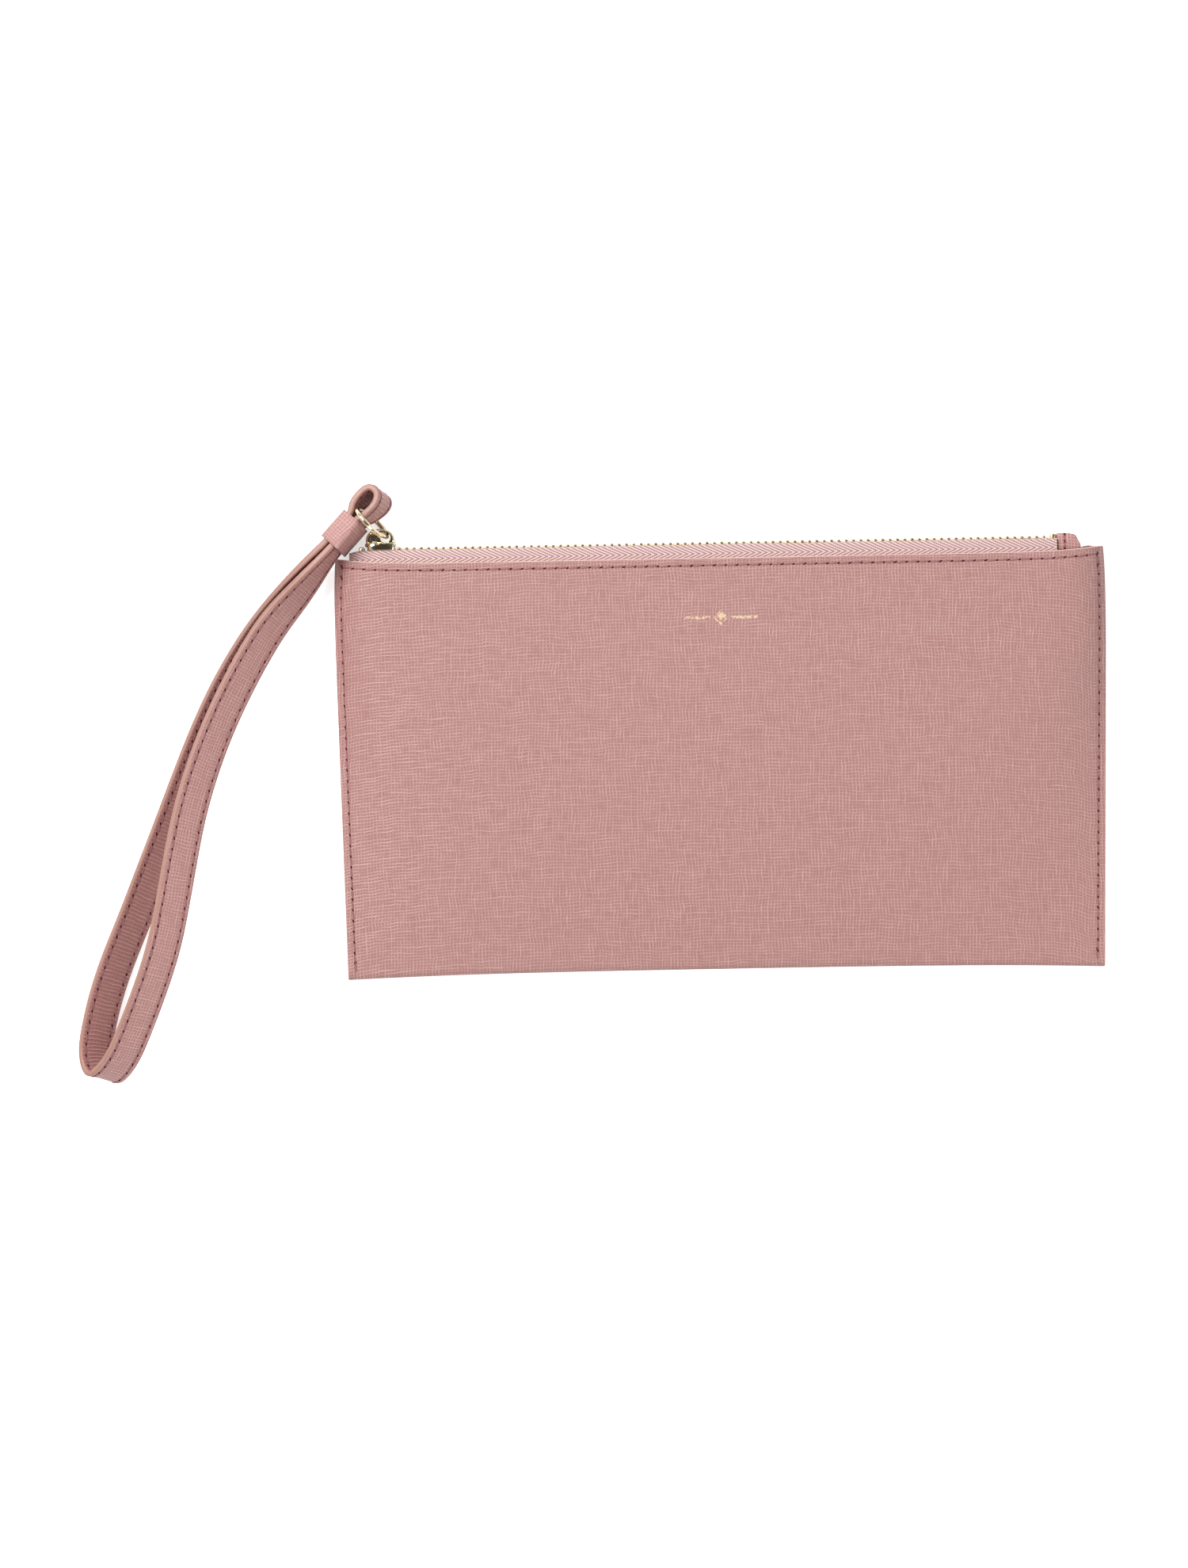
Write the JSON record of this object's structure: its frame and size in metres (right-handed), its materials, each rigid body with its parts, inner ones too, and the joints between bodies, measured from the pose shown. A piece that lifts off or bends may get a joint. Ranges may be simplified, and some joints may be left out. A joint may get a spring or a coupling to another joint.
{
  "type": "wristlet wallet",
  "caption": "Flat zip pouch of cross-grained leather, folded at the bottom, with a metal zip, a slider ring and a leather wrist strap gathered by a keeper.",
  "frame": {"origin": "middle of the back panel's outer face, on the surface the wallet lies on", "axes": "+X along the zip away from the closed slider, +Y from the bottom fold to the zip, +Z out of the front panel"},
  "size_m": [0.2833, 0.1633, 0.0199],
  "materials": {
    "pouch_leather": "cross-hatch embossed calf leather, pale pink, satin",
    "strap_leather": "the same leather with painted edges",
    "lining_cloth": "plain woven lining cloth",
    "zip_tape": "herringbone woven zip tape, pale pink",
    "zip_metal": "polished light gold teeth and stops",
    "slider_metal": "polished light gold plating",
    "ring_metal": "polished light gold plating",
    "spring_steel": "bare spring strip",
    "sewing_thread": "waxed polyester thread, dark rose",
    "foil": "hot stamped pale gold foil, slightly worn"
  },
  "bodies": {
    "pouch": {"leather_body": "pouch_leather", "lining_bag": "lining_cloth", "zip_tape_front": "zip_tape", "zip_tape_back": "zip_tape", "zip_teeth_front": "zip_metal", "zip_teeth_back": "zip_metal", "zip_top_stops": "zip_metal", "zip_bottom_stop": "zip_metal", "zip_end_tab": "strap_leather", "end_tab_thread": "sewing_thread", "side_seam_thread_left": "sewing_thread", "side_seam_thread_right": "sewing_thread", "top_seam_thread_front": "sewing_thread", "top_seam_thread_back": "sewing_thread", "foil_stamp": "foil"},
    "slider": {"slider_body": "slider_metal", "slider_cap": "slider_metal", "slider_lock_spring": "spring_steel"},
    "pull_ring": {"pull_ring": "ring_metal"},
    "strap": {"strap_outer_ply": "strap_leather", "strap_inner_ply": "strap_leather", "strap_thread": "sewing_thread", "strap_keeper": "strap_leather", "keeper_thread": "sewing_thread"}
  },
  "joints": [
    {"name": "slider_travel", "type": "slide", "parent": "pouch", "child": "slider", "axis": [1, 0, 0], "range_m": [0, 0.176], "deforming": ["strap_outer_ply", "strap_inner_ply", "strap_thread", "strap_keeper", "keeper_thread", "zip_teeth_front", "zip_teeth_back"]},
    {"name": "ring_swing", "type": "hinge", "parent": "slider", "child": "pull_ring", "pos_m": [-0.0912, 0.0632, 0.0047], "axis": [0, 0, 1], "range_deg": [-80, 1]},
    {"name": "strap_swing", "type": "hinge", "parent": "pull_ring", "child": "strap", "pos_m": [-0.0972, 0.0704, 0.00757], "axis": [-0.1663, 0.1247, 0.9781], "range_deg": [-40, 1]}
  ]
}
